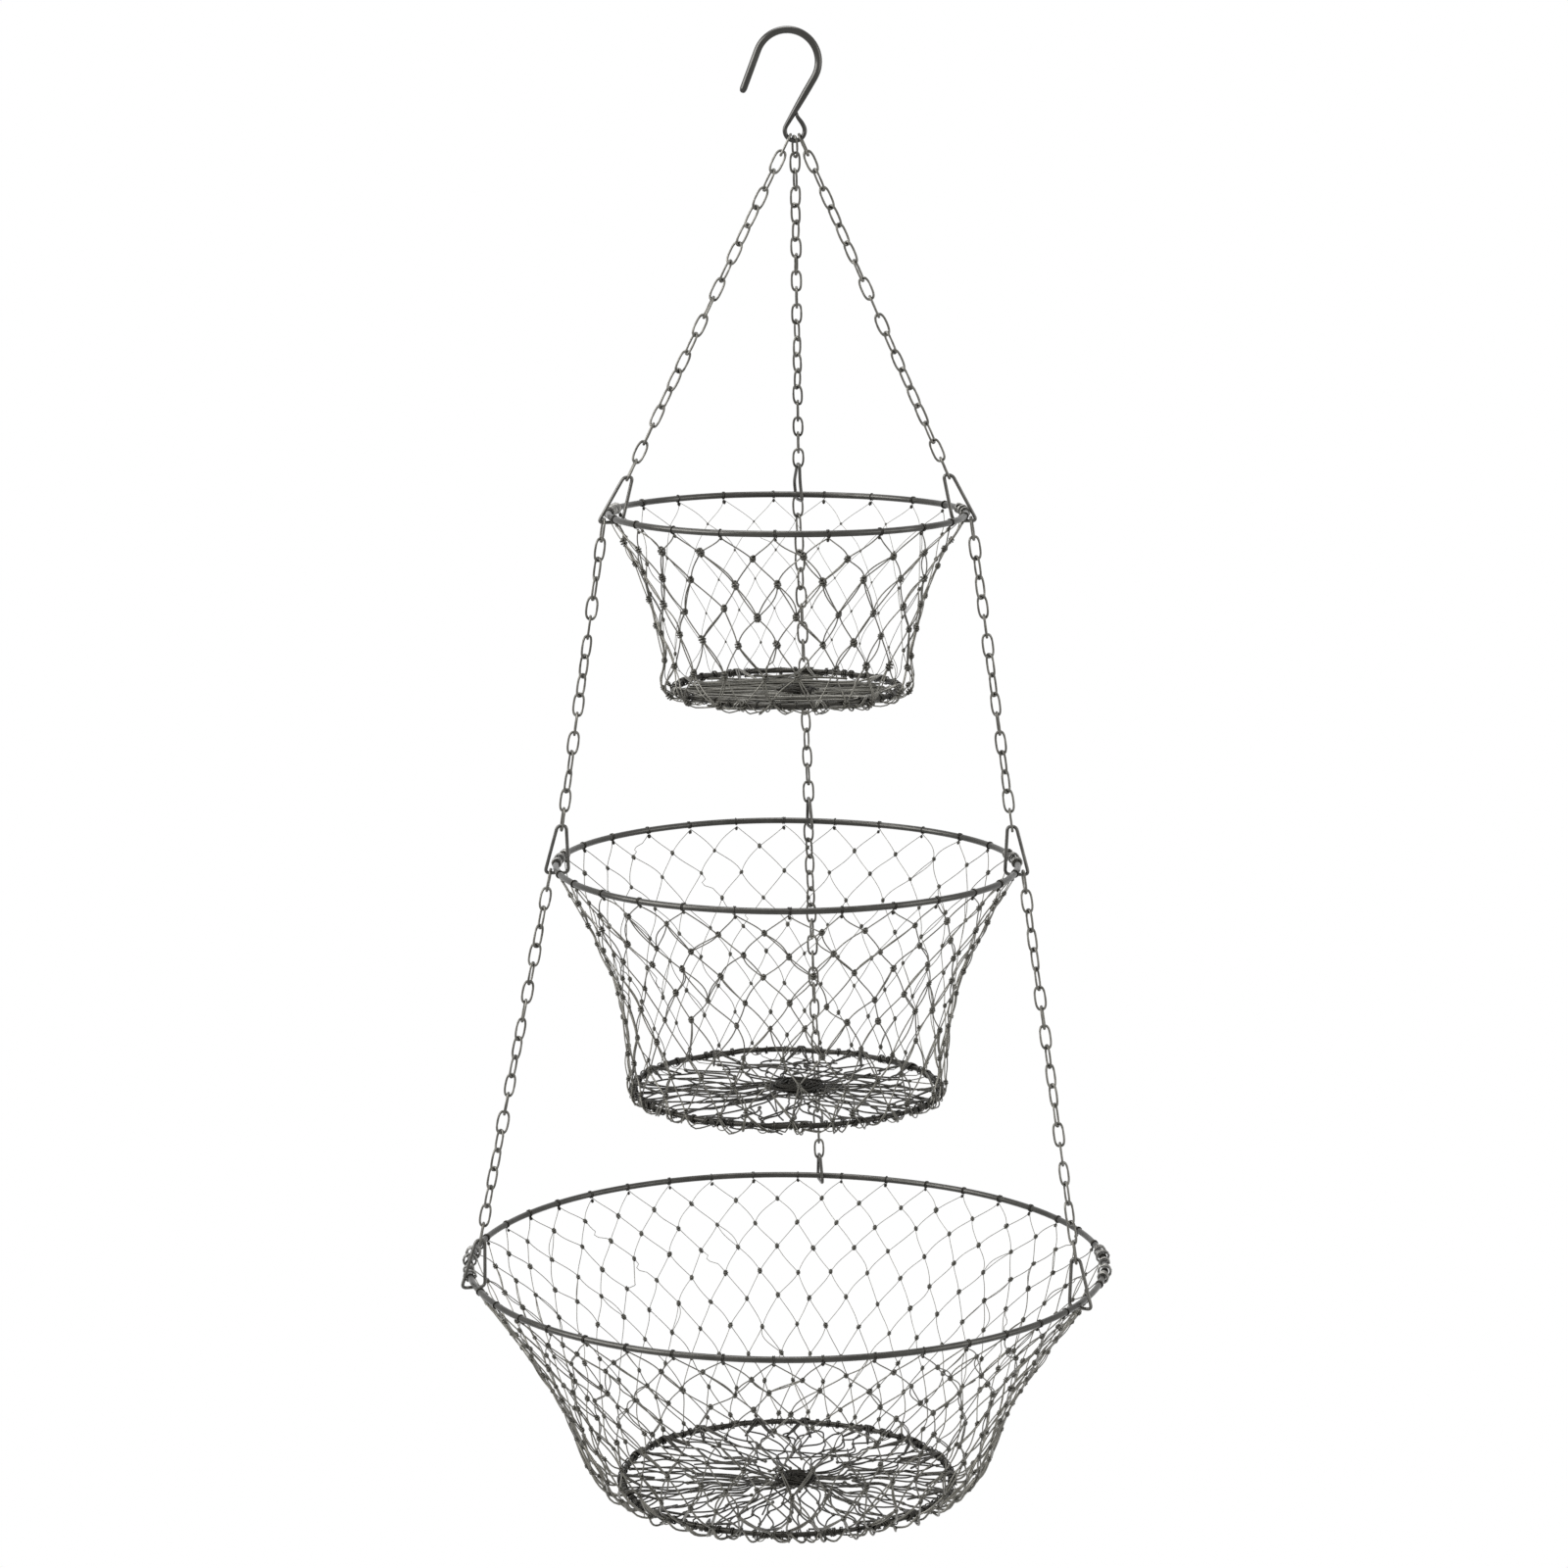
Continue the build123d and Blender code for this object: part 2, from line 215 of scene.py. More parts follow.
class Pile:
    """Gathers tubes into the mesh of one piece."""

    def __init__(self):
        self.verts = []
        self.faces = []
        self.count = 0

    def tube(self, points, radius, sides, guide, closed=False):
        """Round tube along points; the guide is a direction that the run never takes."""
        pts = np.asarray(points, dtype=float)
        radii = np.array(np.broadcast_to(radius, len(pts)), dtype=float)
        ahead = np.roll(pts, -1, 0) - np.roll(pts, 1, 0) if closed else np.gradient(pts, axis=0)
        ahead = ahead / (np.linalg.norm(ahead, axis=1)[:, None] + 1e-12)
        guides = np.broadcast_to(guide, pts.shape)
        normals = guides - ahead * (ahead * guides).sum(1)[:, None]
        normals = normals / (np.linalg.norm(normals, axis=1)[:, None] + 1e-12)
        if not closed:
            first, last = ahead[0] * radii[0], ahead[-1] * radii[-1]
            (tip, tip_size), (shoulder, shoulder_size) = CAP_TIP, CAP_SHOULDER
            pts = np.vstack([pts[0] - first * tip, pts[0] - first * shoulder, pts,
                             pts[-1] + last * shoulder, pts[-1] + last * tip])
            radii = np.concatenate([radii[:1] * tip_size, radii[:1] * shoulder_size, radii,
                                    radii[-1:] * shoulder_size, radii[-1:] * tip_size])
            ahead = np.vstack([ahead[:1], ahead[:1], ahead, ahead[-1:], ahead[-1:]])
            normals = np.vstack([normals[:1], normals[:1], normals, normals[-1:], normals[-1:]])
        sideways = np.cross(ahead, normals)
        turns = np.arange(sides) * TAU / sides
        spokes = (normals[:, None] * np.cos(turns)[None, :, None]
                  + sideways[:, None] * np.sin(turns)[None, :, None])
        self.verts.append((pts[:, None] + spokes * radii[:, None, None]).reshape(-1, 3))
        index = self.count + np.arange(len(pts))[:, None] * sides + np.arange(sides)[None]
        beside = np.roll(index, -1, 1)
        if closed:
            below, under, over, above = index, beside, np.roll(beside, -1, 0), np.roll(index, -1, 0)
        else:
            below, under, over, above = index[:-1], beside[:-1], beside[1:], index[1:]
        self.faces += np.stack([below, under, over, above], -1).reshape(-1, 4).tolist()
        if not closed:
            self.faces += [index[0][::-1].tolist(), index[-1].tolist()]
        self.count += len(pts) * sides

    def piece(self, name, body, material, slot, *nodes):
        """Makes the piece, which rides a body and may stand in for CAD nodes."""
        mesh = bpy.data.meshes.new(name)
        mesh.from_pydata((np.concatenate(self.verts) * MM).tolist(), [], self.faces)
        mesh.polygons.foreach_set("use_smooth", [True] * len(mesh.polygons))
        mesh.materials.append(material)
        mesh.update()
        obj = bpy.data.objects.new(name, mesh)
        bpy.context.scene.collection.objects.link(obj)
        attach(obj, body)
        if nodes:
            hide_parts(*nodes)


def smooth_path(points, steps=8):
    """Points along a Catmull-Rom curve through the given ones."""
    p = np.asarray(points, dtype=float)
    p = np.vstack([2 * p[0] - p[1], p, 2 * p[-1] - p[-2]])
    out = []
    for i in range(1, len(p) - 2):
        a, b, c, d = p[i - 1], p[i], p[i + 1], p[i + 2]
        for k in range(steps):
            t = k / steps
            out.append(0.5 * (2 * b + (c - a) * t + (2 * a - 5 * b + 4 * c - d) * t * t
                              + (3 * b - a - 3 * c + d) * t ** 3))
    out.append(p[-2])
    return np.array(out)


def rounded(points, radii, steps=6):
    """Closed polyline with each corner turned into an arc-like bend."""
    p = [np.asarray(q, dtype=float) for q in points]
    out = []
    for i, corner in enumerate(p):
        before, after = p[i - 1], p[(i + 1) % len(p)]
        shorter = min(np.linalg.norm(before - corner), np.linalg.norm(after - corner))
        reach = min(radii[i], shorter * 0.48)
        a = corner + unit(before - corner) * reach
        b = corner + unit(after - corner) * reach
        for k in range(steps + 1):
            t = k / steps
            out.append(a * (1 - t) ** 2 + corner * 2 * t * (1 - t) + b * t * t)
    return np.array(out)


def preset(node, **values):
    """Sets inputs of a shader node; an underscore stands for a space in their names."""
    for name, value in values.items():
        node.inputs[name.replace("_", " ")].default_value = value


def ranged(tree, value, start, end, low, high):
    """A value carried over from one range to another, and kept inside it."""
    fade = tree.nodes.new("ShaderNodeMapRange")
    preset(fade, From_Min=start, From_Max=end, To_Min=low, To_Max=high)
    tree.links.new(value, fade.inputs["Value"])
    return fade.outputs["Result"]


def steel(name, dark, pale, pale_from, roughness, grain, bump=0.20, coat=0.0):
    """Blackened steel: dark oxide, paler worn patches (on the coil steel these also paint
    highlights), fine pits, uneven gloss and an oil film.

    The pale colour is reached where the noise is at pale_from, and grain is the noise's scale to
    a metre.
    """
    material = bpy.data.materials.new(name)
    material.use_nodes = True
    tree = material.node_tree
    nodes, links = tree.nodes, tree.links
    shader = nodes["Principled BSDF"]
    place = nodes.new("ShaderNodeTexCoord")
    big = nodes.new("ShaderNodeTexNoise")
    preset(big, Scale=grain * 0.35, Detail=6.0, Roughness=0.6)
    fine = nodes.new("ShaderNodeTexNoise")
    preset(fine, Scale=grain * 3, Detail=4.0)
    for node in (big, fine):
        links.new(place.outputs["Object"], node.inputs["Vector"])
    patches = nodes.new("ShaderNodeValToRGB")
    for element, start, colour in zip(patches.color_ramp.elements, (0.34, pale_from), (dark, pale)):
        element.position = start
        element.color = (*colour, 1)
    links.new(big.outputs["Fac"], patches.inputs["Fac"])
    links.new(patches.outputs["Color"], shader.inputs["Base Color"])
    gloss = ranged(tree, fine.outputs["Fac"], 0.3, 0.7, roughness - 0.07, roughness + 0.1)
    links.new(gloss, shader.inputs["Roughness"])
    pits = nodes.new("ShaderNodeBump")
    preset(pits, Strength=bump, Distance=0.0001)
    links.new(fine.outputs["Fac"], pits.inputs["Height"])
    links.new(pits.outputs["Normal"], shader.inputs["Normal"])
    preset(shader, Metallic=0.85, Coat_Weight=coat, Coat_Roughness=0.2, Coat_IOR=1.6)
    return material


hook_steel = steel("hook_steel", (0.016, 0.015, 0.012), (0.050, 0.048, 0.042),
                   pale_from=0.88, roughness=0.28, grain=180, bump=0.04, coat=0.5)
# chain_steel also colours the paler chords on the top basket's floor, there as painted highlight
chain_steel = steel("chain_steel", (0.060, 0.057, 0.048), (0.170, 0.165, 0.147),
                    pale_from=0.74, roughness=0.34, grain=420, coat=0.3)
hanger_steel = steel("hanger_steel", (0.034, 0.032, 0.027), (0.095, 0.092, 0.081),
                     pale_from=0.82, roughness=0.36, grain=300, coat=0.6)
rim_steel = steel("rim_steel", (0.026, 0.025, 0.021), (0.062, 0.060, 0.054),
                  pale_from=0.88, roughness=0.36, grain=240, bump=0.12, coat=0.3)
# coil_steel is paler than the rim's wire: its pale patches paint highlights on the coils at the
# rim's ends, over the wire's own dark tone
coil_steel = steel("coil_steel", (0.075, 0.073, 0.066), (0.230, 0.225, 0.210),
                   pale_from=0.74, roughness=0.34, grain=420, coat=0.5)
net_steel = steel("net_steel", (0.070, 0.066, 0.054), (0.180, 0.174, 0.150),
                  pale_from=0.80, roughness=0.40, grain=420, coat=0.4)
# knot_steel also colours the top basket's floor wires, paler than the other floors, there as
# painted highlight
knot_steel = steel("knot_steel", (0.040, 0.038, 0.030), (0.105, 0.101, 0.086),
                   pale_from=0.84, roughness=0.46, grain=420, coat=0.3)
floor_steel = steel("floor_steel", (0.014, 0.013, 0.010), (0.050, 0.047, 0.039),
                    pale_from=0.84, roughness=0.40, grain=420, coat=0.15)
hub_steel = steel("hub_steel", (0.012, 0.011, 0.009), (0.036, 0.034, 0.029),
                  pale_from=0.86, roughness=0.58, grain=420)


def leaning(angle):
    """Downward direction that leans to the right by an angle."""
    a = math.radians(angle)
    return vec(math.sin(a), 0, -math.cos(a))


def arc(centre, radius, start, end, step=6.0):
    """Points of an arc in the hook's plane."""
    count = max(2, round(abs(end - start) / step))
    turns = np.radians(np.linspace(start, end, count + 1))
    return [centre + vec(math.cos(a), 0, math.sin(a)) * radius for a in turns]


bend_centre = vec(0, 0, HOOK_WIRE / 2 - BEND_RADIUS)
stem_start = bend_centre + leaning(90 - STEM_LEAN) * BEND_RADIUS
stem_end = stem_start + leaning(-STEM_LEAN) * STEM_LENGTH
eye_centre = stem_end + leaning(90 - STEM_LEAN) * EYE_RADIUS


def hook():
    """Hook of one wire that thins towards its teardrop eye and ends against the stem."""
    pile = Pile()
    bend = arc(bend_centre, BEND_RADIUS, 180 - TIP_LEAN, -STEM_LEAN)
    tip = bend[0] + leaning(-TIP_LEAN) * TIP_LENGTH
    tip_run = [tip + (bend[0] - tip) * t for t in (0, 0.03, 0.25, 0.5, 0.75)]
    stem_run = [stem_start + (stem_end - stem_start) * t for t in STEM_PLACES]
    loop = arc(eye_centre, EYE_RADIUS, 180 - STEM_LEAN, 366, 8)
    leg = [eye_centre + vec(x, 0, z) for x, z in EYE_RETURN]
    leg = list(smooth_path([loop[-1]] + leg, 5))[1:]
    path = tip_run + bend + stem_run + loop + leg
    thick, thin = HOOK_WIRE / 2, EYE_WIRE / 2
    radii = [thick * 0.94] + [thick] * (len(tip_run) - 1 + len(bend))
    radii += [thick * taper for taper in STEM_TAPER]
    radii += [thin] * len(loop) + [thin * (1 - 0.45 * (k / len(leg)) ** 3) for k in range(len(leg))]
    pile.tube(path, radii, 24, vec(0, 1, 0))
    pile.piece("hook_wire", "hook", hook_steel, "hook_steel", "hook")


def solids_of(node):
    """The separate solids of a CAD node, as arrays of corner points in millimetres."""
    mesh = frame["nodes"][node].data
    raw = np.array([tuple(v.co) for v in mesh.vertices]) / MM
    spots, index = np.unique(np.round(raw, 3), axis=0, return_inverse=True)
    index = index.reshape(-1)
    parent = list(range(len(spots)))

    def root(i):
        while parent[i] != i:
            parent[i] = parent[parent[i]]
            i = parent[i]
        return i

    for edge in mesh.edges:
        a, b = root(index[edge.vertices[0]]), root(index[edge.vertices[1]])
        if a != b:
            parent[a] = b
    groups = {}
    for i in range(len(spots)):
        groups.setdefault(root(i), []).append(i)
    return [spots[g] for g in groups.values()]


def link(pile, corners, turned=0.0):
    """Oval link where the CAD link lies, its wire thicker at the ends, with a butted seam."""
    centre = corners.mean(0)
    spread = corners - centre
    axes = np.linalg.eigh(spread.T @ spread)[1]
    normal, wide, tall = axes[:, 0], axes[:, 1], axes[:, 2]
    half_tall = np.abs(spread @ tall).max() - CHAIN_WIRE * 0.48 + rng.uniform(-0.03, 0.03)
    half_wide = np.abs(spread @ wide).max() - CHAIN_WIRE * 0.48 + rng.uniform(-0.25, 0.12)
    roll = math.radians(rng.gauss(0, LINK_ROLL) + turned)
    c, s = math.cos(roll), math.sin(roll)
    wide, normal = wide * c + normal * s, normal * c - wide * s
    # the higher the power, the straighter the sides and the squarer the ends
    power = rng.uniform(2.5, 3.1)
    seam = rng.choice(LINK_SEAMS)
    path, radii = [], []
    for i in range(LINK_STEPS):
        a = TAU * i / LINK_STEPS
        c, s = math.cos(a), math.sin(a)
        x = math.copysign(abs(c) ** (2 / power), c) * half_wide
        y = math.copysign(abs(s) ** (2 / power), s) * half_tall
        path.append(centre + wide * x + tall * y)
        radii.append(CHAIN_WIRE / 2 * ((0.86 if i == seam else 1.0) + 0.26 * s ** 4))
    pile.tube(path, radii, 8, normal, closed=True)


def chains():
    """The links of every chain, where the CAD links lie."""
    for body, nodes in frame["record"]["behaviour"]["bodies"].items():
        for node in nodes:
            if node.endswith("_chain") or node == "eye_links":
                pile = Pile()
                for corners in solids_of(node):
                    aside = abs(corners[:, 0].mean() - eye_centre[0])
                    central = node == "eye_links" and aside < EYE_RADIUS / 3
                    link(pile, corners, CENTRAL_TURN if central else 0.0)
                name = "eye_ovals" if node == "eye_links" else node.replace("chain", "ovals")
                pile.piece(name, body, chain_steel, "chain_steel", node)


def hanger(name, body, seat, outward, upward, height, foot):
    """Bent triangle of wire round the rim. Returns its foot, where the next chain hooks on."""
    rise = across(upward, outward)
    lean = np.dot(upward, outward) * height
    tall = np.dot(upward, rise) * height
    base = CAD_RIM_WIRE / 2 + SEAT_GAP + HANGER_WIRE / 2
    r = HANGER_WIRE / 2
    # out from the rim, up from its wire, and how round the corner is bent
    corners = [
        (-HANGER_INNER - r, -base, 2.6),
        (foot + HOOK_ROOM + r, -base, 2.4),
        (lean + HANGER_APEX_HALF + r * 0.4, tall, 2.0),
        (lean - HANGER_APEX_HALF - r * 0.4, tall, 2.0),
    ]
    if name == "top_back":
        # this one's legs are bowed like a pear
        corners.insert(2, (foot + HOOK_ROOM + r * 0.4 + 0.9, tall * 0.35, 6.0))
        corners.append((-HANGER_INNER + r * 0.6 - 0.9, tall * 0.35, 6.0))
    path = [seat + outward * x + rise * y for x, y, _ in corners]
    bends = [bend for _, _, bend in corners]
    pile = Pile()
    pile.tube(rounded(path, bends), r, 12, np.cross(outward, rise), closed=True)
    pile.piece(f"{name}_triangle", body, hanger_steel, "hanger_steel", f"{name}_hanger")
    return seat + outward * foot - rise * base


def all_hangers():
    """Three hangers for each basket, each leaning to the chain that carries it."""
    carriers = [eye_centre + leaning(t) * EYE_RADIUS for t in (0, -EYE_SPREAD, EYE_SPREAD)]
    for tier, t in TIERS.items():
        feet = []
        for side, step, carrier in zip(SIDES, t["steps"], carriers):
            back = side == "back"
            azimuth = t["azimuth"] + 360 * step / t["count"]
            seat = polar(t["rim"], azimuth, -t["drop"])
            outward = unit(polar(t["rim"], azimuth + (BACK_YAW if back else 0), 0))
            height, foot = (t["back"], BACK_FOOT) if back else (HANGER_HEIGHT, HANGER_FOOT)
            upward = unit(carrier - seat)
            name, body = f"{tier}_{side}", f"{tier}_basket"
            feet.append(hanger(name, body, seat, outward, upward, height, foot))
        carriers = feet


def uneven_ring(radius, height, wobble):
    """Point of a ring that is slightly out of round and out of level, by azimuth."""
    waves = [(k, rng.uniform(-1, 1) * wobble / k, rng.uniform(0, TAU)) for k in (2, 3, 5, 8, 13)]
    lifts = [(k, rng.uniform(-1, 1) * wobble / k, rng.uniform(0, TAU)) for k in (2, 3, 4, 7)]

    def at(azimuth):
        a = math.radians(azimuth)
        r = radius + sum(w * math.sin(k * a + p) for k, w, p in waves)
        z = height + sum(w * math.sin(k * a + p) for k, w, p in lifts)
        return polar(r, azimuth, z)

    return at


class Net:
    """One basket's netting: knotted diamonds from the rim, under the base ring, to the hub."""

    def __init__(self, t):
        self.t = t
        self.count = t["count"]
        rim, base = t["rim"], t["base"]
        self.low = -t["drop"] - t["depth"]
        wall = [(base + (rim - base) * flare, -t["drop"] - t["depth"] * depth)
                for flare, depth in zip(t["flares"], t["depths"])]
        foot = [(base + out, self.low + up) for out, up in t["foot"]]
        inner = [(base * 0.6, self.low - 2.4), (t["hub"], self.low - 1.4)]
        line = smooth_path([(rim, -t["drop"] - 1.0)] + wall + foot + inner, 12)
        travel = np.hypot(*np.diff(line, axis=0).T)
        half = math.pi * (line[1:, 0] + line[:-1, 0]) / 2 / self.count
        # a row of meshes is as high as the strands' length and the meshes' half width leave it
        row = np.sqrt(np.maximum(t["side"] ** 2 - half ** 2, 40))
        self.s = np.concatenate([[0], np.cumsum(travel / row)])
        self.r, self.z = line[:, 0], line[:, 1]
        slope = np.gradient(line, axis=0)
        slope = slope / np.linalg.norm(slope, axis=1)[:, None]
        self.nr, self.nz = -slope[:, 1], slope[:, 0]
        self.end = self.s[-1]
        corner = np.argmin(np.hypot(self.r - base - 1.2, self.z - self.low + 2.6))
        self.wall_end = self.s[corner]
        self.foot_s = self.s[np.argmin(np.hypot(self.r - foot[0][0], self.z - foot[0][1]))]
        # heading, wave number and two phases of the floor's wandering
        self.waves = [(rng.uniform(0, TAU), TAU / rng.uniform(13, 40),
                       rng.uniform(0, TAU), rng.uniform(0, TAU)) for _ in range(9)]

    def place(self, azimuth, s, lift=0.0):
        """Points of the netting, and the directions out of its surface."""
        azimuth, s = np.broadcast_arrays(np.asarray(azimuth, float), np.asarray(s, float))
        a = np.radians(azimuth)
        r, z = np.interp(s, self.s, self.r), np.interp(s, self.s, self.z)
        nr, nz = np.interp(s, self.s, self.nr), np.interp(s, self.s, self.nz)
        near_foot = eased(1 - np.abs(s - self.foot_s) / 1.3)
        r = r - self.t["bulge"] * near_foot * (1 - np.abs(np.cos(a)) ** 1.5)
        out = np.stack([nr * np.cos(a), nr * np.sin(a), nz], -1)
        pts = np.stack([r * np.cos(a), r * np.sin(a), z], -1) + out * np.asarray(lift)[..., None]
        # the floor's wires wander, and meet to the right of its middle
        inside = eased((s - self.wall_end - 0.15) / 0.8)
        shift = np.zeros_like(pts)
        for heading, wave, phase, other in self.waves:
            along = (pts[..., 0] * math.cos(heading) + pts[..., 1] * math.sin(heading)) * wave
            shift[..., 0] += np.sin(along + phase) * 0.7
            shift[..., 1] += np.sin(along + other) * 0.7
        inwards = np.clip(1 - r / self.t["base"], 0, 1)
        shift[..., 0] += HUB_OFFSET * inwards
        shift[..., 1] += self.t["hub_back"] * inwards
        return pts + shift * inside[..., None], out

    def front(self, azimuth):
        """1 at the front of the basket and 0 at its back."""
        return float(eased(0.65 - math.sin(math.radians(azimuth)) * 0.75))

    def wire(self, azimuth):
        """Radius of a strand."""
        fine, more = self.t["wires"]
        return (fine + more * self.front(azimuth)) / 2

    def knots(self):
        """Knot places by row and column, as azimuth and row, uneven as pulled netting is."""
        spots = {}
        cell = 360 / self.count
        for j in range(int(self.end) + 1):
            low = max(0.0, (j - self.wall_end) / (self.end - self.wall_end))
            for i in range(self.count):
                azimuth = self.t["azimuth"] + cell * (i + 0.5 + 0.5 * (j % 2))
                front = self.front(azimuth)
                least, at_front, at_hub = STRAY_ROUND
                loose = least + at_front * front * min(1, j / self.wall_end) + at_hub * low
                drift = cell * rng.gauss(0, loose) if j else 0
                least, at_front, at_hub = STRAY_DOWN
                row = j + rng.gauss(0, least + at_front * front + at_hub * low) if j else 0.0
                spots[j, i] = (azimuth + drift, min(row, self.end - 0.3))
        return spots

    def nearest(self, spots, point):
        """The knot that lies nearest to a point."""
        return min(spots, key=lambda k: np.linalg.norm(self.place(*spots[k])[0] - point))

    def kinked_strand(self, pile, a, b):
        """Wire that runs down nearly to its knot's level and then turns to it at a right angle."""
        (az0, s0), (az1, s1) = a, b
        corner = az0 + (az1 - az0) * 0.42
        azimuth = [az0, az0 + (corner - az0) * 0.55, corner - (corner - az0) * 0.04,
                   corner, corner + (az1 - corner) * 0.08, az1]
        s = [s0] + [s0 + (s1 - s0) * share for share in (0.5, 0.86, 0.93, 0.95)] + [s1]
        pts, out = self.place(azimuth, s, STRAND_LIFT)
        pile.tube(pts, self.wire((az0 + az1) / 2) * 1.25, 5, out)

    def strand(self, pile, a, b, side, aside=0.0):
        """Wire from one knot down to the next."""
        (az0, s0), (az1, s1) = a, b
        t = np.linspace(0, 1, 9)
        cell = 360 / self.count
        floor = s0 > self.wall_end
        bow = rng.gauss(0, 0.08 if floor else 0.04) + aside
        ease = rng.uniform(0, 0.35)
        share = t + (eased(t) - t) * ease
        azimuth = az0 + (az1 - az0) * share + cell * bow * np.sin(math.pi * t)
        if floor:
            azimuth = azimuth + cell * rng.gauss(0, 0.03) * np.sin(TAU * t)
        elif rng.random() < KINK_CHANCE:
            kink = rng.choice((3, 4, 5))
            azimuth[kink:kink + 2] += cell * rng.choice((-0.11, 0.11, 0.14))
        s = s0 + (s1 - s0) * t
        lift = side * STRAND_LIFT + np.sin(math.pi * t) * rng.gauss(0, 0.5)
        pts, out = self.place(azimuth, s, lift)
        thicker = 1 + self.t["heavy"] * float(eased((s0 + s1) / self.wall_end - 1))
        pile.tube(pts, FLOOR_WIRE / 2 if floor else self.wire((az0 + az1) / 2) * thicker, 5, out)

    def knot(self, pile, spot, size):
        """Tight twist of wire that ties two strands together."""
        azimuth, s = spot
        ends, out = self.place([azimuth, azimuth], [s - 0.09, s + 0.09])
        centre = ends.mean(0)
        along = unit(ends[1] - ends[0])
        out = across(out[0], along)
        side = np.cross(along, out)
        tilt = rng.gauss(0, 0.25)
        c, s = math.cos(tilt), math.sin(tilt)
        along, side = along * c + side * s, side * c - along * s
        turns = rng.uniform(2.8, 3.8)
        t = np.linspace(0, 1, 23)
        a = rng.uniform(0, TAU) + TAU * turns * t
        swell = size * (0.18 + 0.46 * np.clip(np.sin(math.pi * t), 0, 1) ** 0.7)
        pts = centre + along * (t[:, None] - 0.5) * 1.7 * size
        pts = pts + (out * np.cos(a)[:, None] + side * np.sin(a)[:, None]) * swell[:, None]
        least, more = KNOT_WIRE
        pile.tube(pts, least + more * size, 5, along)


def wrap(pile, at, azimuth, core, turns, pitch, wire, sides=6):
    """Turns of wire round a ring's wire at an azimuth."""
    centre = at(azimuth)
    along = unit(at(azimuth + 0.5) - centre)
    out = unit(polar(1, azimuth, 0))
    up = np.cross(out, along)
    steps = max(8, int(turns * 12))
    t = np.linspace(0, 1, steps + 1)
    a = rng.uniform(0, TAU) + TAU * turns * t
    radius = core / 2 + wire * 0.42
    pts = centre + along * (pitch * turns * (t[:, None] - 0.5))
    pts = pts + (out * np.cos(a)[:, None] + up * np.sin(a)[:, None]) * radius
    pile.tube(pts, wire / 2, sides, along)


def ring_wire(pile, at, wire, sides, steps=144):
    """Closed ring of round wire."""
    run = [at(360 * i / steps) for i in range(steps)]
    pile.tube(run, wire / 2, sides, vec(0, 0, 1), closed=True)


def rope_round(pile, at, wire, offset, turns, phase):
    """Thin wire that runs along a ring and winds slowly round it."""
    pts = []
    steps = 240
    for i in range(steps):
        azimuth = 360 * i / steps
        way = math.radians(azimuth)
        a = way * turns + phase + 0.7 * math.sin(way * 7 + phase)
        pts.append(at(azimuth) + polar(offset * math.cos(a), azimuth, offset * math.sin(a)))
    pile.tube(pts, wire / 2, 5, vec(0, 0, 1), closed=True)


def woven(net, t, spots, kinked):
    """The netting's strands in its wall and its floor, and the knots that tie them."""
    wall, floor, tied = Pile(), Pile(), Pile()
    last = max(j for j, _ in spots)
    for (j, i), spot in spots.items():
        front = net.front(spot[0])
        if j:
            small, more = t["knots"]
            below_wall = j > net.wall_end
            size = FLOOR_KNOT if below_wall else (small + more * front) * rng.uniform(0.84, 1.16)
            net.knot(tied, spot, size)
        if j == last or (j > last - 2 and rng.random() < t["thin"] * 0.5):
            continue
        target = wall if j < net.wall_end else floor
        start = (spot[0], spot[1] + (0.1 if j == 0 else 0))
        few, more = t["doubles"]
        edge = math.cos(math.radians(spot[0])) ** 6
        for shift, side in ((0, -1), (1, 1)):
            column = i + (shift if j % 2 else shift - 1)
            below = (j + 1, column % net.count)
            azimuth, row = spots[below]
            end = (azimuth + 360 * (column // net.count), row)
            if below == kinked and side > 0:
                net.kinked_strand(target, start, end)
                continue
            net.strand(target, start, end, side)
            if 0 < j < net.wall_end and rng.random() < few + more * front + 0.25 * edge:
                net.strand(target, start, end, side, rng.choice((-1, 1)) * rng.uniform(0.05, 0.12))
    for i in range(net.count):
        azimuth, row = spots[last, i]
        for side in (-1, 1):
            if rng.random() > t["thin"]:
                net.strand(floor, (azimuth, row), (azimuth + rng.uniform(-20, 20), net.end), side)
    return wall, floor, tied


def lashings(net, spots, rim_at):
    """Turns of wire that hold the netting to the rim, each with a knot below it."""
    pile = Pile()
    for i in range(net.count):
        azimuth = spots[0, i][0] + rng.uniform(-0.4, 0.4)
        wrap(pile, rim_at, azimuth, RIM_WIRE, rng.uniform(1.1, 2.2), 0.7, rng.uniform(0.5, 0.64))
        net.knot(pile, (azimuth, 0.17 + rng.uniform(-0.02, 0.05)), rng.uniform(0.7, 1.0))
    return pile


def end_coils(t, rim_at):
    """Lumps of coiled thick wire at the left and right ends of the rim."""
    pile = Pile()
    for middle, spread, number in t["coils"]:
        for k in range(number):
            azimuth = middle + spread * (k / (number - 1) - 0.5) + rng.uniform(-1.2, 1.2)
            core = RIM_WIRE + rng.uniform(0.3, 2.6) * t["coil_slack"]
            turns, pitch = rng.uniform(1.1, 2.0), rng.uniform(1.3, 2.8)
            wrap(pile, rim_at, azimuth, core, turns, pitch, COIL_WIRE, 7)
    return pile


def ring_ties(net, t, ring_at):
    """Turns of thin wire that tie the netting to the base ring."""
    pile = Pile()
    cell = 360 / net.count
    for i in range(net.count):
        for half in (0, 0.5):
            azimuth = t["azimuth"] + cell * (i + half + rng.uniform(-0.15, 0.15))
            wrap(pile, ring_at, azimuth, RING_WIRE + 0.9, rng.uniform(1.2, 2.4), 0.8, TIE_WIRE, 5)
    return pile


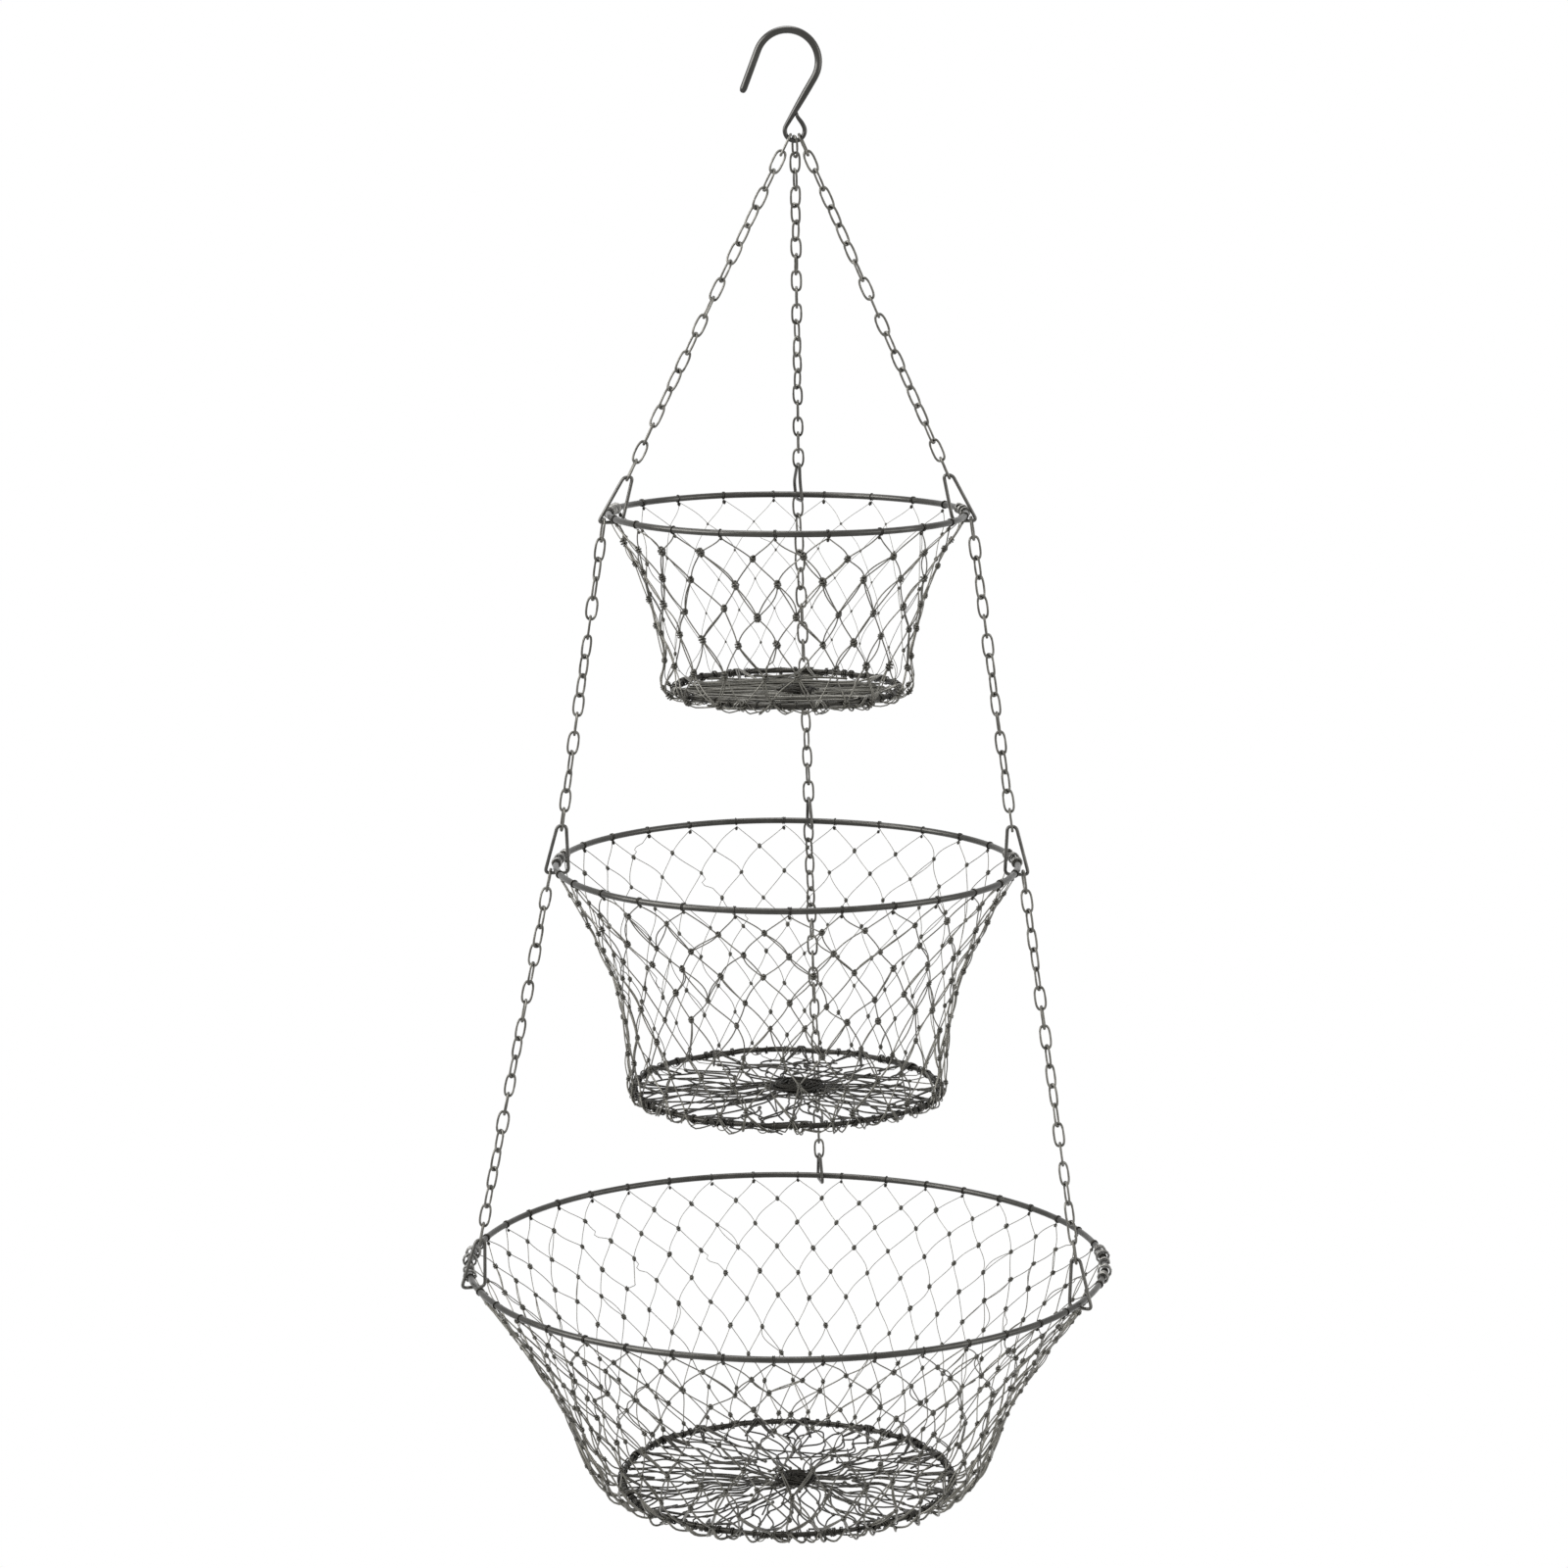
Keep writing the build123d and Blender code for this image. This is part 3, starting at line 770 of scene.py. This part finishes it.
def chords(dull, painted_highlight, net, t):
    """Loose wires across the floor. Bunched ones lie side by side, and every third of them goes
    into the paler pile, a painted highlight.
    """
    bunched = t["bunched"]
    for k in range(t["chords"]):
        pile = painted_highlight if bunched and k % 3 == 0 else dull
        reach = t["base"] - 1.5
        a0 = rng.gauss(0, 0.62) if bunched else rng.uniform(0, TAU)
        a1 = a0 + math.pi + rng.gauss(0, 0.9)
        if bunched:
            a1 = math.pi - a0 + rng.gauss(0, 0.22)
        end0 = vec(math.cos(a0), math.sin(a0), 0) * reach
        end1 = vec(math.cos(a1), math.sin(a1), 0) * reach
        short = 0.12 if bunched else 0.3
        cut = (rng.uniform(0, short), rng.uniform(1 - short, 1.0))
        u = np.linspace(*cut, 17)
        run = end1 - end0
        across_run = unit(vec(-run[1], run[0], 0))
        bend = 1.5 if bunched else 2.4
        wander = sum(rng.gauss(0, bend) / q * np.sin(q * math.pi * u + rng.uniform(0, TAU))
                     for q in (1, 2, 3, 5))
        lift = net.low - 2.4 + rng.uniform(-0.9, 1.6) + 0.35 * np.sin(9 * u + rng.uniform(0, TAU))
        pts = end0 + run * u[:, None] + across_run * wander[:, None]
        pts[:, 2] = lift
        pile.tube(pts, t["chord_wire"] / 2 * rng.uniform(0.85, 1.15), 6, vec(0, 0, 1))


def laces(pile, net, t, ring_at):
    """Pairs of thicker wire laced in Vs from under the base ring, over it and down to the floor."""
    n = t["laces"]
    for k in range(n):
        az = 360 * (k + rng.uniform(-0.2, 0.2)) / n
        for way in (-1, 1):
            turn = math.degrees(way * rng.uniform(6, 10) / t["base"])
            outward = unit(polar(1, az, 0))
            under = ring_at(az - turn * 0.45) + outward * 1.0 - vec(0, 0, 1.5)
            side = ring_at(az - turn * 0.3) + outward * 1.9
            over = ring_at(az) + vec(0, 0, 1.8)
            end = polar(t["base"] - rng.uniform(9, 17), az + turn, net.low - 1.9)
            twin = polar(rng.uniform(0.9, 1.3), az + 90, 0)
            for shift in (-twin / 2, twin / 2):
                places = [p + shift for p in (under, side, over, (over + end) / 2)]
                run = smooth_path(places + [end], 6)
                pile.tube(run, t["lace_wire"] / 2, 6, unit(polar(1, az + 90, 0)))


def scallops(pile, t, ring_at):
    """Slack loops of the net that hang below the base ring."""
    count = round(TAU * t["base"] / SCALLOP_PITCH)
    for i in range(count):
        az = 360 / count * (i + rng.uniform(-0.2, 0.2))
        half = math.degrees(rng.uniform(2.4, 3.2) / t["base"])
        drop = rng.uniform(1.3, 2.3)
        pts = []
        for k in range(11):
            u = -1 + k / 5
            depth = 1 - abs(u) ** 2.4
            pts.append(ring_at(az + half * u) + polar(1.2 + 1.0 * depth, az, -0.9 - drop * depth))
        pile.tube(pts, SCALLOP_WIRE / 2, 5, unit(polar(1, az, 0)))


def tangle(net, t):
    """Bunched and tied wire ends at the floor's hub."""
    hub = Pile()
    centre = vec(HUB_OFFSET, t["hub_back"], net.low - 0.6)
    radius = t["mass"]
    for _ in range(TANGLE_WIRES):
        start = rng.uniform(0, TAU)
        sweep = rng.uniform(0.8, 3.6) * rng.choice((-1, 1))
        r0, r1 = rng.uniform(0.1, 0.8) * radius, rng.uniform(0.1, 1.0) * radius
        z0, z1 = rng.uniform(-2.4, 1.6), rng.uniform(-2.4, 1.6)
        u = np.linspace(0, 1, 12)
        a = start + sweep * u
        r = r0 + (r1 - r0) * u + 0.9 * np.sin(4 * a)
        squeeze = 1 - (r / radius) ** 2 * 0.6
        pts = np.stack([r * np.cos(a), r * np.sin(a), (z0 + (z1 - z0) * u) * squeeze], -1) + centre
        hub.tube(pts, TIE_WIRE * rng.uniform(0.45, 0.75), 5, vec(0, 0, 1))
    return hub


def basket(tier, t):
    """All the pieces of one basket."""
    body = f"{tier}_basket"
    net = Net(t)
    rim_at = uneven_ring(t["rim"], -t["drop"], RING_UNEVEN)
    pile = Pile()
    ring_wire(pile, rim_at, RIM_WIRE, 16, 180)
    pile.piece(f"{tier}_rim_wire", body, rim_steel, "rim_steel", f"{tier}_rim")
    ring_at = uneven_ring(t["base"], net.low, RING_UNEVEN)
    pile = Pile()
    ring_wire(pile, ring_at, RING_WIRE, 10)
    for k in range(3):
        rope_round(pile, ring_at, TIE_WIRE, ROPE_OFFSET, 5 + 2 * k, TAU * k / 3)
    pile.piece(f"{tier}_base_wire", body, floor_steel, "rim_steel", f"{tier}_base_ring")

    spots = net.knots()
    kinked = net.nearest(spots, polar(*KINKED_KNOT)) if tier == "bottom" else None
    wall, floor, tied = woven(net, t, spots, kinked)
    laced = Pile()
    chords(floor, laced, net, t)
    laces(laced, net, t, ring_at)
    scallops(wall, t, ring_at)
    # the floor and lacing of the top basket get paler steel than those of the others: on the top's
    # floor wires and on the chords in its lacing pile this is painted highlight
    lacing, flooring = (chain_steel, knot_steel) if tier == "top" else (floor_steel, floor_steel)
    laced.piece(f"{tier}_ring_laces", body, lacing, "net_steel")
    wall.piece(f"{tier}_wall_netting", body, net_steel, "net_steel", f"{tier}_wall_net")
    floor.piece(f"{tier}_floor_netting", body, flooring, "net_steel", f"{tier}_floor_net")
    tied.piece(f"{tier}_net_knots", body, knot_steel, "net_steel")
    lashings(net, spots, rim_at).piece(f"{tier}_rim_lashings", body, floor_steel, "net_steel")
    end_coils(t, rim_at).piece(f"{tier}_end_coils", body, coil_steel, "net_steel")
    ring_ties(net, t, ring_at).piece(f"{tier}_ring_ties", body, floor_steel, "net_steel")
    tangle(net, t).piece(f"{tier}_floor_tangle", body, hub_steel, "net_steel", f"{tier}_floor_knot")


def rays(tree, *kinds):
    """1 for rays of the named kinds."""
    path = tree.nodes.new("ShaderNodeLightPath")
    found = path.outputs[kinds[0]]
    for kind in kinds[1:]:
        either = tree.nodes.new("ShaderNodeMath")
        either.operation = "MAXIMUM"
        tree.links.new(found, either.inputs[0])
        tree.links.new(path.outputs[kind], either.inputs[1])
        found = either.outputs[0]
    return found


def mixed(tree, share, first, second):
    """The first shader, with a share of the second."""
    mix = tree.nodes.new("ShaderNodeMixShader")
    tree.links.new(share, mix.inputs["Fac"])
    tree.links.new(first.outputs[0], mix.inputs[1])
    tree.links.new(second.outputs[0], mix.inputs[2])
    return mix


def studio():
    """White backdrop all round, also in reflections, and a floor that runs into it."""
    world = bpy.data.worlds.new("studio")
    bpy.context.scene.world = world
    world.use_nodes = True
    tree = world.node_tree
    soft = tree.nodes["Background"]
    plain = tree.nodes.new("ShaderNodeBackground")
    for light, strength in ((soft, SOFT_LIGHT), (plain, 1.0)):
        preset(light, Color=(1, 1, 1, 1), Strength=strength)
    mix = mixed(tree, rays(tree, *WHITE_RAYS), soft, plain)
    tree.links.new(mix.outputs[0], tree.nodes["World Output"].inputs["Surface"])
    mesh = bpy.data.meshes.new("studio_floor")
    signs = ((-1, -1), (1, -1), (1, 1), (-1, 1))
    corners = [(x * FLOOR_REACH, y * FLOOR_REACH, FLOOR_LEVEL) for x, y in signs]
    mesh.from_pydata(corners, [], [(0, 1, 2, 3)])
    floor = bpy.data.objects.new("studio_floor", mesh)
    bpy.context.scene.collection.objects.link(floor)
    paper = bpy.data.materials.new("paper")
    paper.use_nodes = True
    tree = paper.node_tree
    shader = tree.nodes["Principled BSDF"]
    preset(shader, Base_Color=(0.92, 0.92, 0.92, 1), Roughness=0.9)
    lit = tree.nodes.new("ShaderNodeEmission")
    preset(lit, Color=(1, 1, 1, 1), Strength=1.0)
    # below the object the floor keeps its shadow, and further off it runs into the white
    place = tree.nodes.new("ShaderNodeTexCoord")
    away = tree.nodes.new("ShaderNodeVectorMath")
    away.operation = "LENGTH"
    tree.links.new(place.outputs["Object"], away.inputs[0])
    share = tree.nodes.new("ShaderNodeMath")
    share.operation = "MULTIPLY"
    tree.links.new(rays(tree, *WHITE_RAYS), share.inputs[0])
    white = ranged(tree, away.outputs["Value"], FADE_START, FADE_END, FADE_LEAST, 1.0)
    tree.links.new(white, share.inputs[1])
    mix = mixed(tree, share.outputs[0], shader, lit)
    tree.links.new(mix.outputs[0], tree.nodes["Material Output"].inputs["Surface"])
    mesh.materials.append(paper)


def lamp(name, place, width, height, power):
    """Area lamp that faces the object's middle."""
    data = bpy.data.lights.new(name, "AREA")
    data.shape = "RECTANGLE"
    data.size = width
    data.size_y = height
    data.energy = power
    obj = bpy.data.objects.new(name, data)
    obj.location = place
    direction = Vector(LAMP_AIM) - Vector(place)
    obj.rotation_euler = direction.to_track_quat("-Z", "Y").to_euler()
    bpy.context.scene.collection.objects.link(obj)


hook()
chains()
all_hangers()
for tier, t in TIERS.items():
    basket(tier, t)
studio()
for settings in LAMPS:
    lamp(*settings)

camera_data = bpy.data.cameras.new("camera")
camera_data.sensor_width = SENSOR
camera_data.sensor_height = SENSOR
camera_data.lens = LENS
camera_data.clip_end = 50.0
camera = bpy.data.objects.new("camera", camera_data)
camera.location = CAMERA_PLACE
camera.rotation_euler = (math.radians(90 - CAMERA_DOWN), 0, 0)
bpy.context.scene.collection.objects.link(camera)
bpy.context.scene.camera = camera
bpy.context.scene.view_settings.view_transform = "Standard"
